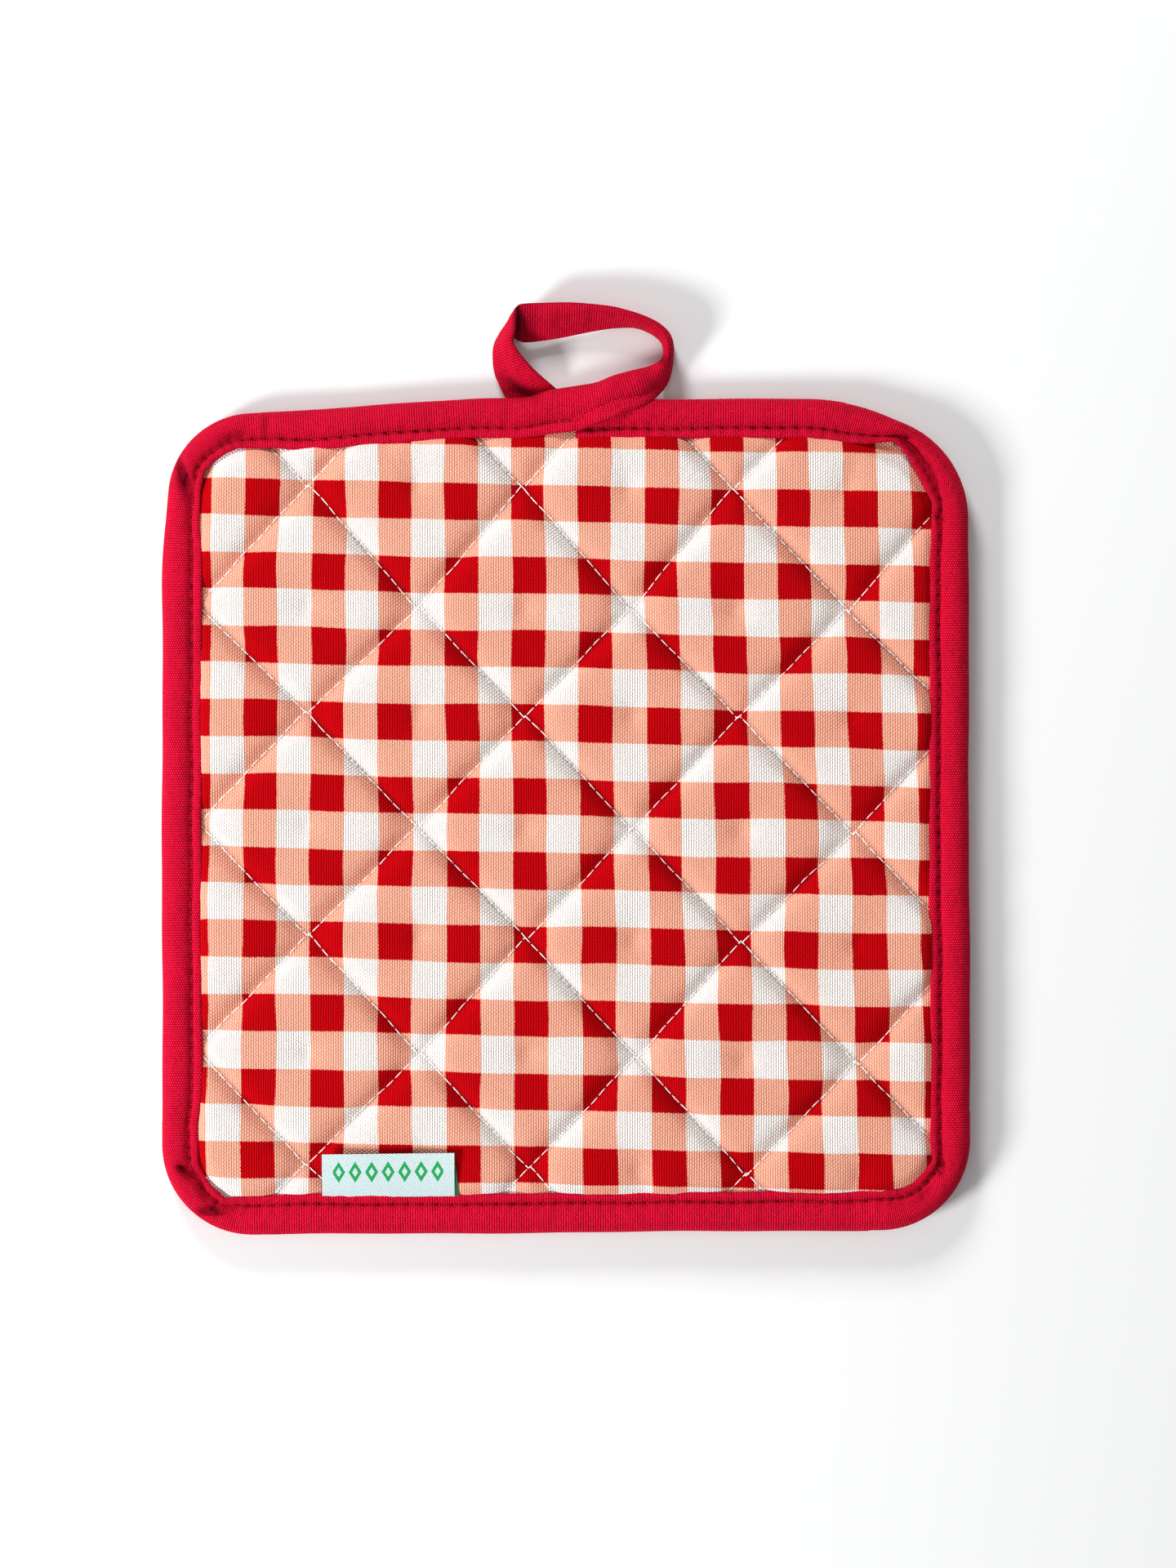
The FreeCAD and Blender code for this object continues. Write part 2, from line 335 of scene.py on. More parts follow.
def quilted_sheet(name, side, pressure):
    """A cover, sewn and swollen. side is 1 for the front and -1 for the back."""
    piece, column, row = cloth_grid(name, CELLS * STEPS, CELLS * STEPS)
    column = column - STEPS
    row = row + STEPS
    x, y = sewn_place(column / STEPS, row / STEPS)
    put(piece, np.stack((x, y, np.zeros(len(x))), 1))
    lay_pattern(piece, np.stack((x, y), 1) / CANVAS_SPAN + 0.5)
    sewn = piece.data.attributes.new("sewn", "FLOAT", "POINT")
    sewn.data.foreach_set("value", on_seam(column, row).astype(np.float32))
    trim_to_edge(piece, COVER_INSET, 1.2)
    places = places_of(piece)
    held = np.zeros(len(places), np.float32)
    piece.data.attributes["sewn"].data.foreach_get("value", held)
    under_binding = inset_from_edge(places[:, 0], places[:, 1]) < BINDING_WIDTH - 0.6
    held = (held > 0.5) | under_binding
    places[:, 2] = np.where(under_binding, 0.05, 0.0)
    group = piece.vertex_groups.new(name="held")
    group.add([int(i) for i in np.nonzero(held)[0]], 1.0, "REPLACE")
    put(piece, places * SIMULATION_SCALE * MM)
    places = swell(piece, pressure)
    height = evened_out(piece, places[:, 2].copy(), held)
    # under the binding the cloth lies flat, pressed thin between the folds of the tape
    inset = inset_from_edge(places[:, 0], places[:, 1])
    clear = eased((inset - FLAT_UNTIL) / (RISEN_BY - FLAT_UNTIL))
    # and under the woven label it is pressed a little flatter
    beneath = np.exp(-(((places[:, 0] + 43) / 18.5) ** 6) - (((places[:, 1] + 88) / 8.0) ** 6)) * (side > 0)
    height *= 1 - 0.45 * beneath
    pushed_up = 0.8 * clear * np.exp(-np.maximum(inset - RISEN_BY, 0) / 5) * (1 - beneath)
    places[:, 2] = MIDDLE + side * (SEAM_HEIGHT - 0.45 * (1 - clear) + height * clear + pushed_up)
    put(piece, places * MM)
    select_only(piece)
    if side < 0:
        bpy.ops.object.mode_set(mode="EDIT")
        bpy.ops.mesh.select_all(action="SELECT")
        bpy.ops.mesh.flip_normals()
        bpy.ops.object.mode_set(mode="OBJECT")
    bpy.ops.object.modifier_add(type="SUBSURF")
    piece.modifiers["Subdivision"].levels = 1
    piece.modifiers["Subdivision"].render_levels = 1
    bpy.ops.object.modifier_apply(modifier="Subdivision")
    bite_seams(piece, side)
    bpy.ops.object.shade_smooth()
    return piece


def surface_under(piece):
    """A finder of the piece's height over any point of the pad, in millimetres."""
    mesh = bmesh.new()
    mesh.from_mesh(piece.data)
    tree = BVHTree.FromBMesh(mesh)
    mesh.free()

    def height(x, y, side):
        hit = tree.ray_cast(Vector((x * MM, y * MM, side * 0.1)), Vector((0, 0, -side)))
        return hit[0].z / MM if hit[0] else MIDDLE + side * SEAM_HEIGHT

    return height


def thicken(piece, thickness):
    """Gives the cloth its thickness, inwards."""
    select_only(piece)
    bpy.ops.object.modifier_add(type="SOLIDIFY")
    piece.modifiers["Solidify"].thickness = thickness
    piece.modifiers["Solidify"].offset = -1
    bpy.ops.object.modifier_apply(modifier="Solidify")


front_cover = quilted_sheet("front_cover", 1, 34.0)
back_cover = quilted_sheet("back_cover", -1, 30.0)
front_height = surface_under(front_cover)
back_height = surface_under(back_cover)
thicken(front_cover, CLOTH_THICKNESS * MM)
thicken(back_cover, CLOTH_THICKNESS * MM)


def new_finish(name, roughness):
    """A new material, with its node tree and shader."""
    finish = bpy.data.materials.new(name)
    finish.use_nodes = True
    shader = finish.node_tree.nodes["Principled BSDF"]
    shader.inputs["Roughness"].default_value = roughness
    return finish, finish.node_tree, shader


class Amount:
    """A number that a material's nodes work out, so that a pattern can be written as a sum."""

    def __init__(self, tree, socket):
        self.tree = tree
        self.socket = socket

    def work(self, operation, *others):
        node = self.tree.nodes.new("ShaderNodeMath")
        node.operation = operation
        for socket, value in zip(node.inputs, (self, *others)):
            if isinstance(value, Amount):
                self.tree.links.new(value.socket, socket)
            else:
                socket.default_value = value
        return Amount(self.tree, node.outputs[0])

    def __add__(self, other):
        return self.work("ADD", other)

    def __sub__(self, other):
        return self.work("SUBTRACT", other)

    def __rsub__(self, other):
        return self.work("MULTIPLY_ADD", -1.0, other)

    def __mul__(self, other):
        return self.work("MULTIPLY", other)

    def __truediv__(self, other):
        return self.work("DIVIDE", other)

    def __pow__(self, other):
        return self.work("POWER", other)

    def __abs__(self):
        return self.work("ABSOLUTE")

    def rounds(self):
        """One rounded yarn for each whole number: from 0 up to 1 and down again."""
        return (self.work("FRACT") * math.pi).work("SINE")

    def clamped(self):
        self.socket.node.use_clamp = True
        return self


def cloud(tree, place, scale, detail=2.0):
    """Noise from 0 to 1."""
    node = tree.nodes.new("ShaderNodeTexNoise")
    node.inputs["Scale"].default_value = scale
    node.inputs["Detail"].default_value = detail
    tree.links.new(place, node.inputs["Vector"])
    return Amount(tree, node.outputs["Fac"])


def noted(tree, name):
    """What was noted about each point of the piece."""
    node = tree.nodes.new("ShaderNodeAttribute")
    node.attribute_name = name
    return Amount(tree, node.outputs["Fac"])


def colour_mix(tree, share, first, second, blend="MIX"):
    """Two colours mixed. The share is a number or an amount; it counts as 0 below 0 and as 1 above 1."""
    node = tree.nodes.new("ShaderNodeMix")
    node.data_type = "RGBA"
    node.blend_type = blend
    node.clamp_factor = True
    if isinstance(share, Amount):
        tree.links.new(share.socket, node.inputs["Factor"])
    else:
        node.inputs["Factor"].default_value = share
    sockets = [s for s in node.inputs if s.type == "RGBA"]
    for socket, value in zip(sockets, (first, second)):
        if isinstance(value, tuple):
            socket.default_value = (*value, 1)
        else:
            tree.links.new(value, socket)
    return [s for s in node.outputs if s.type == "RGBA"][0]


def cloth_axes(tree, wide, tall):
    """The cloth's own two directions, in millimetres, and its UV map, which is wide by tall."""
    uv = tree.nodes.new("ShaderNodeUVMap")
    uv.uv_map = "UVMap"
    split = tree.nodes.new("ShaderNodeSeparateXYZ")
    tree.links.new(uv.outputs["UV"], split.inputs[0])
    across, up = Amount(tree, split.outputs["X"]), Amount(tree, split.outputs["Y"])
    return across * wide, up * tall, uv.outputs["UV"]


def raise_weave(tree, shader, height, depth, distance):
    bump = tree.nodes.new("ShaderNodeBump")
    bump.inputs["Strength"].default_value = depth
    bump.inputs["Distance"].default_value = distance
    tree.links.new(height.socket, bump.inputs["Height"])
    tree.links.new(bump.outputs["Normal"], shader.inputs["Normal"])


def dress(piece, finish):
    piece.data.materials.clear()
    piece.data.materials.append(finish)


CHECK_WIDTH = 16.43  # from one printed stripe to the next like it
CHECK_HEIGHT = 17.88
RED, PEACH, WHITE = (0.52, 0.0, 0.003), (0.98, 0.42, 0.295), (1.0, 0.915, 0.865)


def printed_canvas():
    """Canvas printed with gingham: white where two light stripes cross, red where two dark ones do, and peach
    between."""
    finish, tree, shader = new_finish("printed_canvas", 0.86)
    across, up, uv = cloth_axes(tree, CANVAS_SPAN, CANVAS_SPAN)
    middle = CANVAS_SPAN / 2
    ragged = cloud(tree, uv, 420.0)
    # the print wanders a little, and its columns fan out towards the foot
    x = across + (cloud(tree, uv, 7.0) * 2.2 - 1.1)
    y = up + (cloud(tree, uv, 5.0) * 1.8 - 0.9)
    y = y + (across - middle) * 0.02
    x = x + (across - 60.0) * (up - 85.0) * 0.0002
    x = x + (ragged * 0.5 - 0.25)
    y = y + (ragged * -0.5 + 0.25)
    # each is the distance from the middle of the nearest light stripe
    beside_light = (x - (middle - 0.3 - CHECK_WIDTH * 8)).work("PINGPONG", CHECK_WIDTH / 2)
    above_light = (y - (middle - 4.4 - CHECK_HEIGHT * 8)).work("PINGPONG", CHECK_HEIGHT / 2)
    light_across = ((4.1 - beside_light) * 4.0 + 0.5).clamped()
    light_up = ((4.5 - above_light) * 4.0 + 0.5).clamped()
    colour = colour_mix(tree, light_across.work("MAXIMUM", light_up), RED, PEACH)
    colour = colour_mix(tree, light_across.work("MINIMUM", light_up), colour, WHITE)
    # canvas weave: columns of short floats, each column half a float lower than the last
    yarn = across / 0.60
    pick = up / 0.86 + yarn.work("FLOOR") * 0.5
    weave = (yarn.rounds() * pick.rounds()) ** 0.6
    slub = cloud(tree, uv, 160.0, 3.0)
    fuzz = cloud(tree, uv, 900.0, 1.0)
    height = weave * (slub * 0.8 + 0.6) + fuzz * 0.35
    shade = weave * 0.26 + 0.70 + (slub * 0.14 - 0.07)
    # painted shade down in the quilting's valleys, darkest along the falling seams
    shade = shade * (noted(tree, "seam") * -0.5 + 1.0)
    grey = tree.nodes.new("ShaderNodeCombineColor")
    for socket in grey.inputs:
        tree.links.new(shade.socket, socket)
    colour = colour_mix(tree, 1.0, colour, grey.outputs[0], "MULTIPLY")
    tree.links.new(colour, shader.inputs["Base Color"])
    shader.inputs["Specular IOR Level"].default_value = 0.04
    raise_weave(tree, shader, height, 0.9, 0.00030)
    return finish


canvas = printed_canvas()
for cover, nodes in (
    (front_cover, ("front_cover_upper", "front_cover_lower")),
    (back_cover, ("back_cover_upper", "back_cover_lower")),
):
    dress(cover, canvas)
    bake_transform(cover)
    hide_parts(*nodes)

# ---------------------------------------------------------------- wadding
# One thick layer of soft fibre between the covers, drawn down where they are sewn.


WADDING_STEPS = 64
NEARBY = (
    (0, 0), (1.7, 0), (-1.7, 0), (0, 1.7), (0, -1.7), (1.1, 1.1), (-1.1, 1.1), (1.1, -1.1), (-1.1, -1.1),
)


def wadding_pad():
    """A sheet doubled into a closed pad, its faces a little inside the lowest cloth near each point."""
    piece, column, row = cloth_grid("wadding", WADDING_STEPS, WADDING_STEPS)
    x = -100 + column * 200 / WADDING_STEPS
    y = -104 + row * 208 / WADDING_STEPS
    put(piece, np.stack((x, y, np.zeros(len(x))), 1))
    trim_to_edge(piece, COVER_INSET + 0.6, 1.4)
    select_only(piece)
    bpy.ops.object.mode_set(mode="EDIT")
    bpy.ops.mesh.select_all(action="SELECT")
    bpy.ops.mesh.extrude_region_move(TRANSFORM_OT_translate={"value": (0, 0, 1)})
    bpy.ops.object.mode_set(mode="OBJECT")
    places = places_of(piece)
    for place in places:
        side = 1 if place[2] > 0.5 else -1
        height = front_height if side > 0 else back_height
        drop = 0.85 + 0.2 * math.sin(place[0] * 0.9) * math.sin(place[1] * 1.1)
        lowest = min(side * height(place[0] + dx, place[1] + dy, side) for dx, dy in NEARBY)
        place[2] = side * (lowest - drop)
    put(piece, places * MM)
    select_only(piece)
    bpy.ops.object.mode_set(mode="EDIT")
    bpy.ops.mesh.select_all(action="SELECT")
    bpy.ops.mesh.normals_make_consistent(inside=False)
    bpy.ops.object.mode_set(mode="OBJECT")
    bpy.ops.object.shade_smooth()
    return piece


def fibre_finish():
    finish, tree, shader = new_finish("cotton_wadding", 0.95)
    coordinates = tree.nodes.new("ShaderNodeTexCoord").outputs["Object"]
    fibres = cloud(tree, coordinates, 900.0, 4.0)
    tufts = cloud(tree, coordinates, 120.0, 3.0)
    colour = colour_mix(tree, tufts, (0.72, 0.69, 0.62), (0.88, 0.86, 0.81))
    tree.links.new(colour, shader.inputs["Base Color"])
    shader.inputs["Sheen Weight"].default_value = 0.4
    raise_weave(tree, shader, fibres + tufts, 0.8, 0.0006)
    return finish


wadding = wadding_pad()
dress(wadding, fibre_finish())
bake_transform(wadding)
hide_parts("wadding_upper", "wadding_lower")

# ---------------------------------------------------------------- quilting threads
# Zigzag rows of lockstitch in off-white cotton. The needle thread lies on the front and the bobbin thread on
# the back. Both dive into the cloth at every stitch hole, and the turns of neighbouring rows just overlap.

STITCH = 2.9
THREAD_STEP = 0.42
THREAD_RADIUS = 0.13
TAPE_SPAN = 100.0  # of tape or thread across its UV map


def swept(name, rings, along, around):
    """A closed skin over rings of points. along and around are its own measures, for its cloth pattern."""
    stations, points = rings.shape[:2]
    piece, column, row = cloth_grid(name, stations - 1, points)
    put(piece, rings[column, row % points])
    lay_pattern(piece, np.stack((along[column], around[row]), 1) / TAPE_SPAN)
    mesh = bmesh.new()
    mesh.from_mesh(piece.data)
    bmesh.ops.remove_doubles(mesh, verts=mesh.verts, dist=1e-9)
    edges = [edge for edge in mesh.edges if edge.is_boundary]
    bmesh.ops.holes_fill(mesh, edges=edges, sides=0)
    bmesh.ops.recalc_face_normals(mesh, faces=mesh.faces)
    mesh.to_mesh(piece.data)
    mesh.free()
    select_only(piece)
    bpy.ops.object.shade_smooth_by_angle(angle=math.radians(70))
    return piece


def thread_line(row, side, height):
    """Points along one row's thread, as it lies on the cloth."""
    turns = zigzag(row)
    lengths = np.concatenate(([0], np.cumsum(np.hypot(*np.diff(turns, axis=0).T))))
    at = np.arange(0, lengths[-1], THREAD_STEP)
    x = np.interp(at, lengths, turns[:, 0])
    y = np.interp(at, lengths, turns[:, 1])
    x += 0.10 * np.sin(at / 1.9 + row) + 0.12 * np.sin(at / 7.3 + row * 2)
    y += 0.10 * np.cos(at / 2.3 + row) + 0.12 * np.cos(at / 9.1 + row)
    inside = inset_from_edge(x, y) > BINDING_WIDTH - 1.2
    x, y, at = x[inside], y[inside], at[inside]
    rise = np.abs(np.sin(np.pi * at / STITCH)) ** 0.5
    z = np.array([height(px, py, side) for px, py in zip(x, y)]) + side * (0.40 * rise - 0.31)
    return np.stack((x, y, z), 1), rise


def thread_piece(name, side, height):
    """All the rows of thread on one face, each a tube."""
    lines = []
    for row in ZIGZAG_ROWS:
        line, rise = thread_line(row, side, height)
        if len(line) < 8:
            continue
        along = np.gradient(line, axis=0)
        along /= np.linalg.norm(along, axis=1)[:, None]
        sideways = np.cross(along, (0, 0, 1))
        sideways /= np.linalg.norm(sideways, axis=1)[:, None]
        upward = np.cross(sideways, along)
        radius = THREAD_RADIUS * (0.75 + 0.25 * rise)[:, None]
        rings = []
        for angle in np.arange(6) / 6 * 2 * math.pi:
            rings.append(line + radius * (math.cos(angle) * sideways + math.sin(angle) * upward))
        rings = np.stack(rings, 1) * MM
        lines.append(swept(f"{name}_{row}", rings, np.arange(len(line)) * THREAD_STEP, np.arange(7) * 0.18))
    bpy.ops.object.select_all(action="DESELECT")
    for line in lines:
        line.select_set(True)
    bpy.context.view_layer.objects.active = lines[0]
    bpy.ops.object.join()
    lines[0].name = name
    lines[0].data.name = name
    return lines[0]


def thread_finish(name, dark, light):
    """Twisted thread: its plies show as small flecks."""
    finish, tree, shader = new_finish(name, 0.7)
    coordinates = tree.nodes.new("ShaderNodeTexCoord").outputs["Object"]
    plies = cloud(tree, coordinates, 2600.0, 1.0)
    tree.links.new(colour_mix(tree, plies, dark, light), shader.inputs["Base Color"])
    shader.inputs["Specular IOR Level"].default_value = 0.1
    raise_weave(tree, shader, plies, 0.5, 0.00008)
    return finish


white_thread = thread_finish("off_white_thread", (0.70, 0.64, 0.60), (1.0, 0.97, 0.95))
for name, side, height, nodes in (
    ("needle_thread", 1, front_height, ("needle_thread_upper", "needle_thread_lower")),
    ("bobbin_thread", -1, back_height, ("bobbin_thread_upper", "bobbin_thread_lower")),
):
    thread = thread_piece(name, side, height)
    dress(thread, white_thread)
    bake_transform(thread)
    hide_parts(*nodes)

# ---------------------------------------------------------------- binding
# Ribbed cotton tape, folded over the raw edges all round and sewn through: a full roll outside the stitches
# and a narrow lip inside them. It starts under the hanging loop, to the right of the middle of the top edge.

# half of the folded tape's outline, from lip to fold: distance in from the fold, and share of its height
PROFILE = (
    (9.70, 0.52), (9.86, 0.64), (9.82, 0.77), (9.50, 0.85), (9.00, 0.87), (8.50, 0.85), (8.05, 0.79),
    (7.65, 0.71), (7.35, 0.67), (7.05, 0.68), (6.65, 0.76), (6.00, 0.87), (5.20, 0.96), (4.20, 1.00),
    (3.20, 0.985), (2.20, 0.90), (1.30, 0.74), (0.60, 0.52), (0.15, 0.25), (0.00, 0.00),
)
LIP_REACH = 9.86  # of the lip, in from the tape's fold
GROOVE = 7.3
GROOVE_HALF_WIDTH = 0.45
GROOVE_POINT = 8  # of the outline, at the bottom of the groove
ROOM_INSIDE = 1.9  # each way from the middle, for the pad's own layers
TAPE_STITCH = 3.6
ROLL_HEIGHT = 3.35
OUTER_POINTS = 2 * len(PROFILE) - 1


def tape_section(half_height, groove, lip, inside):
    """The folded tape's outline as (distance in from its fold, height): from the front lip round the fold to
    the back lip, and back along the inside."""
    front = []
    for d, share in PROFILE:
        plain = 0.93 if 4.2 < d <= 9.6 else share
        level = (share * groove + plain * (1 - groove)) * half_height
        if d > 8.0:
            level += lip
        front.append((d, level))
    back = [(d, -level) for d, level in reversed(front[:-1])]
    inner = [(d, -inside) for d in (9.4, 7.3, 4.5, 2.4)]
    inner += [(1.2, -inside * 0.5), (1.2, inside * 0.5)]
    inner += [(d, inside) for d in (2.4, 4.5, 7.3, 9.4)]
    return np.array(front + back + inner)


SECTION = tape_section(ROLL_HEIGHT, 1.0, 0.0, ROOM_INSIDE)
AROUND = np.diff(np.vstack((SECTION, SECTION[:1])), axis=0)
ACROSS = np.concatenate(([0], np.cumsum(np.hypot(*AROUND.T))))
BACK_LIP = ACROSS[OUTER_POINTS - 1]
LOOP_START_X = -12.0
RING_START_X = 2.0
EDGE_STEP = 0.68
SEWN_TAIL = 31.0  # of the loop's tape, still sewn through before it leaves the pad


def clockwise_edge():
    """The pad's edge from under the loop, clockwise as seen from the front, all the way round."""
    points, inward = edge_line(EDGE_STEP)
    points, inward = points[::-1], inward[::-1]
    top = np.nonzero((points[:, 1] > 90) & (points[:, 0] > RING_START_X))[0]
    first = top[np.argmin(points[top, 0])]
    return np.roll(points, -first, 0), np.roll(inward, -first, 0)


def gentle(s, *waves):
    """A slow unevenness: the sum of a few waves, as (height, wavelength, shift)."""
    return sum(height * np.sin(2 * math.pi * s / length + shift) for height, length, shift in waves)


# where the lip's edge runs round the corners, clockwise from the top left
LIP_CORNERS = (
    ((-88.9, 70.0), (-88.6, 78.6), (-87.6, 83.6), (-85.6, 86.0), (-82.4, 88.2), (-79.6, 89.4), (-70.0, 89.5)),
    (
        (66.0, 90.8), (73.4, 90.5), (78.6, 91.0), (80.2, 91.0),
        (83.8, 86.2), (86.1, 81.8), (89.0, 76.2), (88.9, 66.0),
    ),
    ((88.7, -72.0), (88.5, -78.4), (89.2, -83.6), (86.3, -87.1), (84.5, -88.9), (82.0, -90.2), (74.0, -90.5)),
    (
        (-70.0, -92.0), (-77.6, -92.1), (-82.5, -92.7), (-85.7, -89.9),
        (-87.5, -87.5), (-89.0, -84.4), (-89.3, -74.0),
    ),
)
# dents where the tape is pushed round the corners: middle, heading in degrees, half length, half width, depth
DENTS = (
    (-92.3, 81.6, 106, 4.6, 1.05, 2.4),
    (-94.0, 87.0, 115, 2.4, 0.8, 0.7),
    (-72.6, 94.6, 80, 2.6, 0.8, 0.5),
    (-80.5, 92.2, 20, 3.0, 0.9, 0.7),
    (82.2, 92.3, 170, 2.0, 0.6, 1.2),
    (84.6, 89.2, 133, 3.0, 0.75, 1.5),
    (88.7, 84.0, 118, 3.4, 0.75, 1.4),
    (91.2, 72.4, 165, 1.6, 0.7, 0.8),
    (91.5, -85.0, 90, 1.7, 0.75, 2.0),
    (87.0, -92.0, 45, 2.6, 0.9, 0.6),
    (-91.9, -86.2, 148, 2.2, 0.95, 2.3),
    (-88.4, -89.6, 110, 3.2, 0.6, 1.1),
    (-85.2, -95.7, 2, 3.4, 1.0, 2.4),
)


def dents_at(place, dents=DENTS):
    """How far the tape is pushed in at each point."""
    depth = np.zeros(len(place))
    for x, y, heading, length, width, deep in dents:
        c, k = math.cos(math.radians(heading)), math.sin(math.radians(heading))
        along = (place[:, 0] - x) * c + (place[:, 1] - y) * k
        across = (place[:, 1] - y) * c - (place[:, 0] - x) * k
        depth = np.maximum(depth, deep * np.exp(-((along / length) ** 2) - (across / width) ** 2))
    return depth


def lip_share(point, inward):
    """The tape's width at a corner, as a share of its width on the straight, or nan away from the corners."""
    for corner in LIP_CORNERS:
        for start, end in zip(corner[:-1], corner[1:]):
            start, run = np.array(start), np.subtract(end, start)
            cross = inward[0] * run[1] - inward[1] * run[0]
            if abs(cross) < 1e-6:
                continue
            gap = start - point
            d = (gap[0] * run[1] - gap[1] * run[0]) / cross
            t = (gap[0] * inward[1] - gap[1] * inward[0]) / cross
            if 0 <= t <= 1 and 3 < d < 14:
                return d / LIP_REACH
    return math.nan


def ring_sections():
    """The tape's sections all round the pad, as points in millimetres."""
    points, inward = clockwise_edge()
    s = np.arange(len(points)) * EDGE_STEP
    width = 1 + gentle(s, (0.012, 61, 0.4), (0.010, 23, 1.9))
    turned = np.array([lip_share(point, inward[i]) for i, point in enumerate(points)])
    at_corner = ~np.isnan(turned)
    away = np.array([np.min(np.abs((s - at)[at_corner])) for at in s])
    nearest = np.array([turned[at_corner][np.argmin(np.abs(s[at_corner] - at))] for at in s])
    ease = np.clip(1 - away / 9, 0, 1) ** 2
    width = np.where(at_corner, np.nan_to_num(turned), width * (1 - ease) + nearest * ease)
    roll = ROLL_HEIGHT * (1 + gentle(s, (0.03, 47, 1.0), (0.02, 15.5, 2.0), (0.015, 7.1, 0.3)))
    shift = gentle(s, (0.12, 83, 0.5), (0.06, 29, 2.2))
    holes = np.abs(np.cos(np.pi * s / TAPE_STITCH)) ** 6
    top_right = np.argmin(np.hypot(points[:, 0] - 91.0, points[:, 1] - 91.0)) * EDGE_STEP
    rings = []
    for i in range(len(points)):
        at = s[i]
        lip = 0.02 + 0.05 * math.sin(at / 5.1) + 0.03 * math.sin(at / 2.3 + 1)
        section = tape_section(roll[i], 1.0, lip, ROOM_INSIDE)
        d = section[:, 0]
        h = section[:, 1].copy()
        outer = np.arange(len(d)) < OUTER_POINTS
        sign = np.sign(h) * outer
        near_groove = np.exp(-(((d - GROOVE) / GROOVE_HALF_WIDTH) ** 2))
        h -= sign * near_groove * (0.22 + 0.38 * holes[i])
        # little tucks pulled across the roll and the lip by each stitch
        pull = np.exp(-(((d - GROOVE) / 1.9) ** 2)) * (1 - near_groove)
        h += sign * pull * 0.13 * math.cos(2 * math.pi * at / TAPE_STITCH + 2.2)
        h += sign * 0.05 * np.sin(at / 1.7 + d) * np.exp(-(((d - 4.0) / 2.0) ** 2))
        reach = d * width[i] + shift[i] * (not at_corner[i])
        place = points[i] + inward[i] * reach[:, None]
        h -= sign * np.minimum(1.5 * dents_at(place), np.abs(h) * 0.85)
        # at the top right corner the lip stands proud of the cover
        proud = math.exp(-(((at - top_right) / 13.0) ** 2)) * (d > 7.6) * outer
        h += np.where(h > 0, proud * (0.55 + 0.2 * math.sin(at / 2.6)), 0)
        rings.append(np.column_stack((place, MIDDLE + h)))
    return points, s, np.array(rings)


ring_edge, ring_s, ring = ring_sections()
ring_end = int(np.nonzero((ring_edge[:, 1] > 90) & (ring_edge[:, 0] <= LOOP_START_X))[0][-1]) + 1
binding = swept("binding", ring[:ring_end] * MM, ring_s[:ring_end], ACROSS)


def mark_creases(piece, dents=DENTS):
    """Notes how deep in a crease each point of the tape lies, for the shade painted into its colour."""
    depth = np.clip(dents_at(places_of(piece) / MM, dents) / 1.6, 0, 1)
    note = piece.data.attributes.new("crease", "FLOAT", "POINT")
    note.data.foreach_set("value", depth.astype(np.float32))


# painted shade in the binding's corner dents
mark_creases(binding)


def tape_finish():
    """Crimson cotton tape: ribs across its length with painted highlights on their crests, and fluffy along
    its two lips, where pale painted highlights fleck the fuzz.
    """
    finish, tree, shader = new_finish("crimson_tape", 0.78)
    along, across, uv = cloth_axes(tree, TAPE_SPAN, TAPE_SPAN)
    flecks = cloud(tree, uv, 230.0, 3.0)
    fuzz = cloud(tree, uv, 620.0, 1.0)
    rib = (flecks * 0.3 + along) / 0.60
    pick = across / 0.62 + rib.work("FLOOR") * 0.5
    weave = rib.rounds() * (pick.rounds() * 0.85 + 0.15)
    # painted highlight on the crests of the weave, with a slow tone that differs at random
    crest_highlight_and_tone = weave * flecks * 2.3 + (cloud(tree, uv, 9.0, 2.0) * 0.3 - 0.15)
    colour = colour_mix(tree, crest_highlight_and_tone, (0.32, 0.0, 0.008), (1.0, 0.0, 0.045))
    front_lip = 1.0 - across / 0.9
    back_lip = 1.0 - abs(across - float(BACK_LIP)) / 0.9
    lip = front_lip.work("MAXIMUM", back_lip).work("MAXIMUM", 0.0)
    # pale flecks of fuzz on the weave's crests, most along the lips: frayed fibres, painted as highlights
    fuzz_highlight = (fuzz * 3.6 - 1.75).work("MAXIMUM", 0.0) * (lip * 1.2 + 0.8) * weave
    colour = colour_mix(tree, fuzz_highlight.work("MINIMUM", 0.6), colour, (1.0, 0.08, 0.17))
    # painted shade where the tape is pushed in: in the creases, and at the stitch holes along the groove
    hole = abs((along * (math.pi / TAPE_STITCH)).work("COSINE")) ** 4.0 * 0.75 + 0.2
    gap = (across - float(ACROSS[GROOVE_POINT])) / 0.42
    sewn = along.work("LESS_THAN", float(ring_s[ring_end - 1]) + SEWN_TAIL)
    line = (gap * gap * -1.0).work("EXPONENT") * hole * sewn
    dark = line.work("MAXIMUM", noted(tree, "crease") * 0.9)
    colour = colour_mix(tree, dark, colour, (0.045, 0.0, 0.003))
    tree.links.new(colour, shader.inputs["Base Color"])
    shader.inputs["Specular IOR Level"].default_value = 0.04
    height = weave * (flecks * 0.9 + 0.6) + fuzz * 0.5 + cloud(tree, uv, 32.0, 2.0) * 3.2
    raise_weave(tree, shader, height, 1.0, 0.00036)
    return finish


crimson_tape = tape_finish()
dress(binding, crimson_tape)
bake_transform(binding)
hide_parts("binding_upper", "binding_lower")

# ---------------------------------------------------------------- hanging loop
# The tape's own tail. It slides off the pad's edge over the start of the binding, stands on edge as it turns
# back, lies open along the top, turns sharply at its far corner and comes down behind the binding, where its
# end is sewn.

